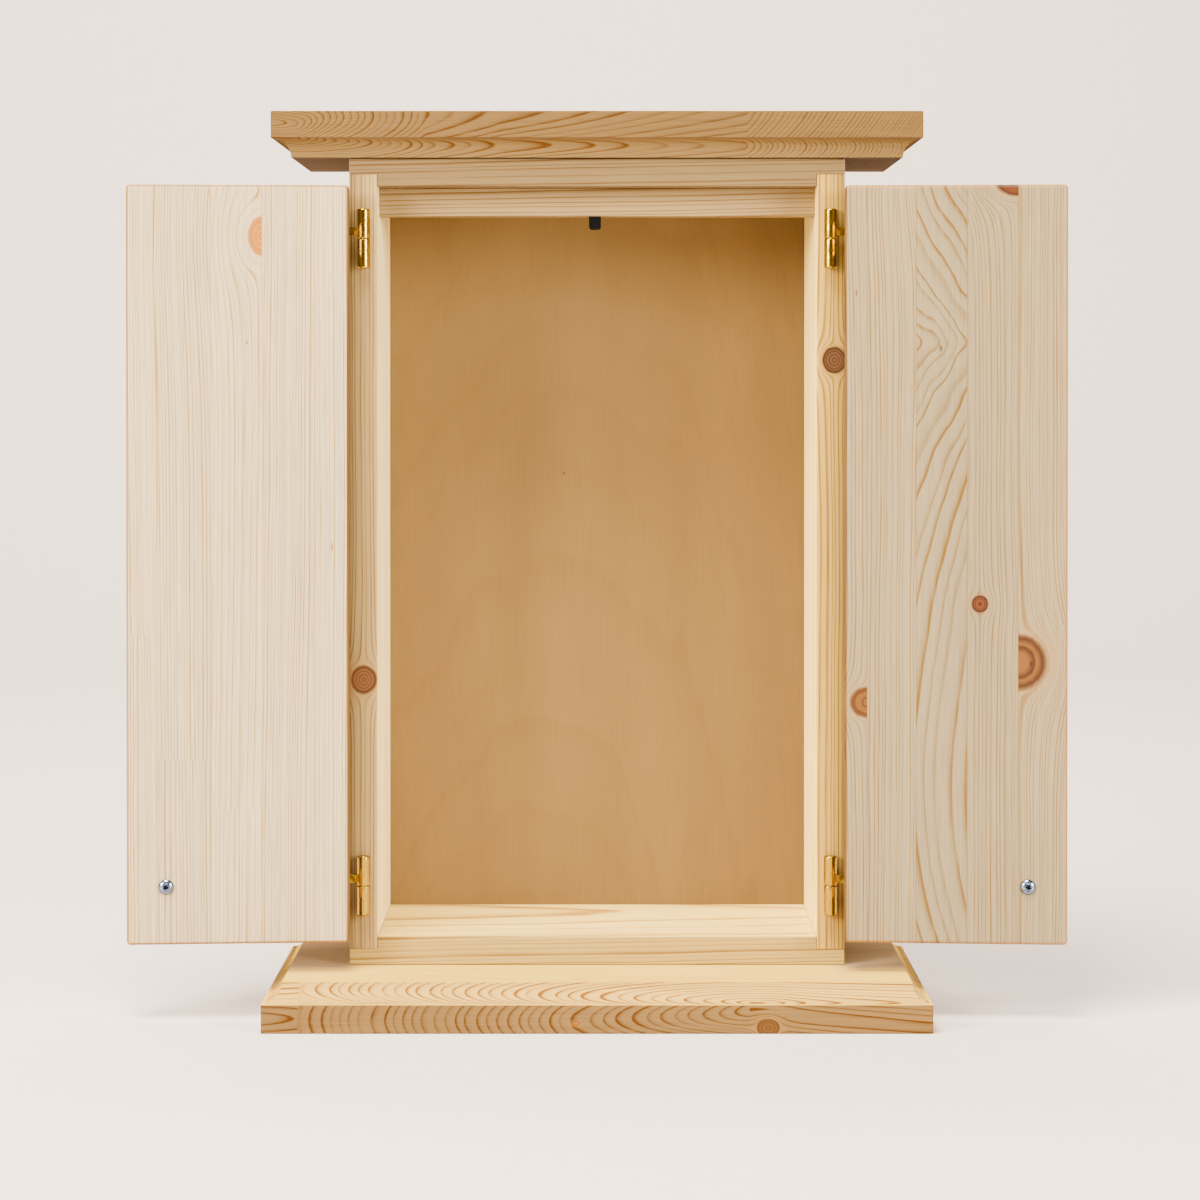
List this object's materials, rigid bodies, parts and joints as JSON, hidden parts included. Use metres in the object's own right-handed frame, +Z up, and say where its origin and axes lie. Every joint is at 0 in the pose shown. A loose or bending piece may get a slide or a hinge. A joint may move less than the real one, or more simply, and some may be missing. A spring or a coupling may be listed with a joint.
{
  "type": "household altar cabinet",
  "caption": "Small upright pine altar cabinet on a coved base under a coved top board, its hinged slab doors standing open beside a deep shelfless interior.",
  "frame": {"origin": "centre of the base board's underside, which is also the middle of the whole cabinet's footprint with its doors standing open", "axes": "+Z up, -Y towards the front where the doors are, +X towards the viewer's right"},
  "size_m": [0.5992, 0.204, 0.5806],
  "materials": {
    "board_pine": "clear lacquered pine, warm honey tone",
    "case_pine": "clear lacquered pine",
    "door_pine": "pale clear lacquered edge-glued pine",
    "knob_pine": "turned and lacquered pine",
    "plywood": "lacquered plywood",
    "brass": "polished brass plate",
    "zinc": "zinc plated steel",
    "black_plastic": "black moulded plastic"
  },
  "bodies": {
    "cabinet": {"base_board": "board_pine", "top_board": "board_pine", "case_left_side": "case_pine", "case_right_side": "case_pine", "case_top_panel": "case_pine", "case_bottom_panel": "case_pine", "back_panel": "plywood", "door_stop_rail": "case_pine", "magnetic_catch": "black_plastic", "left_lower_hinge_case_half": "brass", "left_upper_hinge_case_half": "brass", "right_lower_hinge_case_half": "brass", "right_upper_hinge_case_half": "brass"},
    "left_door": {"left_door": "door_pine", "left_lower_hinge_door_half": "brass", "left_upper_hinge_door_half": "brass", "left_knob_screw": "zinc", "left_pull_knob": "knob_pine"},
    "right_door": {"right_door": "door_pine", "right_lower_hinge_door_half": "brass", "right_upper_hinge_door_half": "brass", "right_knob_screw": "zinc", "right_pull_knob": "knob_pine"}
  },
  "joints": [
    {"name": "left_door_hinge", "type": "hinge", "parent": "cabinet", "child": "left_door", "pos_m": [-0.1505, -0.0365, 0.2908], "axis": [0, 0, -1], "range_deg": [-176, 4]},
    {"name": "right_door_hinge", "type": "hinge", "parent": "cabinet", "child": "right_door", "pos_m": [0.1505, -0.0365, 0.2908], "axis": [0, 0, 1], "range_deg": [-176, 4]}
  ]
}
